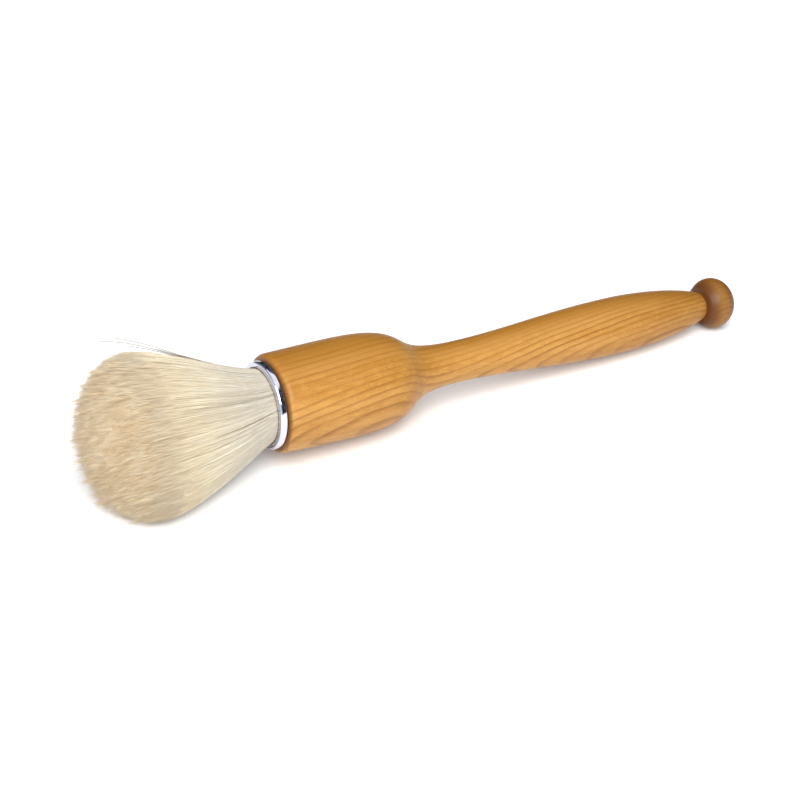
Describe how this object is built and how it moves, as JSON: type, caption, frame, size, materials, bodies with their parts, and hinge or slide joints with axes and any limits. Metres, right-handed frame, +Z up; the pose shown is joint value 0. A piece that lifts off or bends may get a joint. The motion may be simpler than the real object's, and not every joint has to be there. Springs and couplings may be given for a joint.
{
  "type": "shaving brush",
  "caption": "Long-handled shaving brush lying on a table: turned wooden handle with a ball end, rolled-lip metal ferrule and a fanned knot of pale natural hair that bends.",
  "frame": {"origin": "on the table, under the middle of the lying brush", "axes": "+X along the brush, from the hair towards the ball end (the brush's own axis dips 3.6 degrees below +X, because the fan of hair holds that end up); +Z up"},
  "size_m": [0.258, 0.0574, 0.0526],
  "materials": {
    "cherry_wood": "satin",
    "chrome_plate": "polished",
    "socket_adhesive": "satin",
    "set_resin": "gloss",
    "binding_thread": "matte",
    "hair": "matte"
  },
  "bodies": {
    "handle_assembly": {"handle": "cherry_wood", "ferrule": "chrome_plate", "socket_adhesive": "socket_adhesive", "knot_plug": "set_resin", "knot_binding": "binding_thread", "hair_root": "hair"},
    "tuft": {"hair_tuft": "hair"}
  },
  "joints": [
    {"name": "hair_flex", "type": "hinge", "parent": "handle_assembly", "child": "tuft", "pos_m": [-0.06664, 0, 0.02132], "axis": [0, 0, 1], "range_deg": [-25, 25], "stiffness_Nm_per_rad": 0.06}
  ]
}
